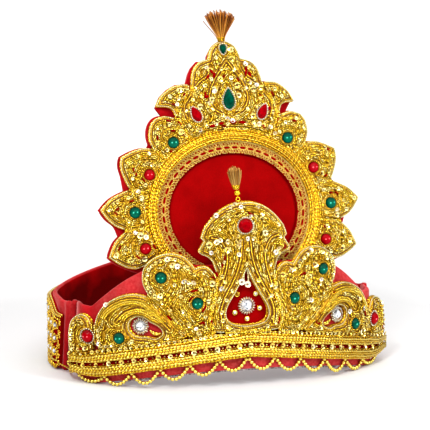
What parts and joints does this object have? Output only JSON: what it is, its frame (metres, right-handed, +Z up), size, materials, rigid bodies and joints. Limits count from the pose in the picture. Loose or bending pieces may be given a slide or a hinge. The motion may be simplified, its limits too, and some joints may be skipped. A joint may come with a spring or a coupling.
{
  "type": "mukut crown",
  "caption": "Velvet crown with gold bullion embroidery: a head ring with a tall front, a plume in the middle and a petalled halo behind it, set with glass stones.",
  "frame": {"origin": "on the surface that the crown rests on, below the middle of its box", "axes": "+X to the right as seen from the front, the front faces -Y, +Y towards the back of the head ring, +Z up to the halo's crest"},
  "size_m": [0.2148, 0.18, 0.2314],
  "materials": {
    "velvet": "deep red velvet pile",
    "lining": "pale grey woven lining",
    "gold": "gold bullion wire, cord, sequins and beads over padding",
    "thread": "copper-gold metallic thread",
    "silver": "antique silver settings",
    "red_stone": "polished red glass, foil-backed",
    "green_stone": "polished teal-green glass, foil-backed",
    "crystal": "clear cut glass, foil-backed"
  },
  "bodies": {
    "root": {"headband": "velvet", "front_wall": "velvet", "halo_back": "velvet", "lining": "lining", "front_border": "gold", "bead_swags": "gold", "plume": "gold", "plume_bead": "gold", "halo_ring": "gold", "halo_lace": "gold", "crest_core": "gold", "side_trim_left": "gold", "side_trim_right": "gold", "end_lobe_left": "gold", "end_lobe_right": "gold", "paisley_left": "gold", "paisley_right": "gold", "scroll_left": "gold", "scroll_right": "gold", "crest_leaf_left": "gold", "crest_leaf_right": "gold", "petal_top_left": "gold", "petal_top_right": "gold", "petal_upper_left": "gold", "petal_upper_right": "gold", "petal_lower_left": "gold", "petal_lower_right": "gold", "petal_bottom_left": "gold", "petal_bottom_right": "gold", "crest_tassel": "thread", "plume_tassel": "thread", "window_dots": "crystal", "window_crystal": "crystal", "halo_settings": "silver", "front_settings": "silver", "crest_drop_green": "green_stone", "crest_drop_tip": "green_stone", "plume_stone": "red_stone", "petal_top_stone_left": "green_stone", "petal_upper_stone_left": "red_stone", "petal_lower_stone_left": "green_stone", "petal_bottom_stone_left": "red_stone", "scroll_stone_upper_left": "green_stone", "scroll_stone_lower_left": "green_stone", "paisley_stone_left": "green_stone", "end_stone_left": "red_stone", "paisley_crystal_left": "crystal", "crest_drop_red_left": "red_stone", "petal_top_stone_right": "green_stone", "petal_upper_stone_right": "red_stone", "petal_lower_stone_right": "green_stone", "petal_bottom_stone_right": "red_stone", "scroll_stone_upper_right": "green_stone", "scroll_stone_lower_right": "green_stone", "paisley_stone_right": "green_stone", "end_stone_right": "red_stone", "paisley_crystal_right": "crystal", "crest_drop_red_right": "red_stone"}
  },
  "joints": []
}
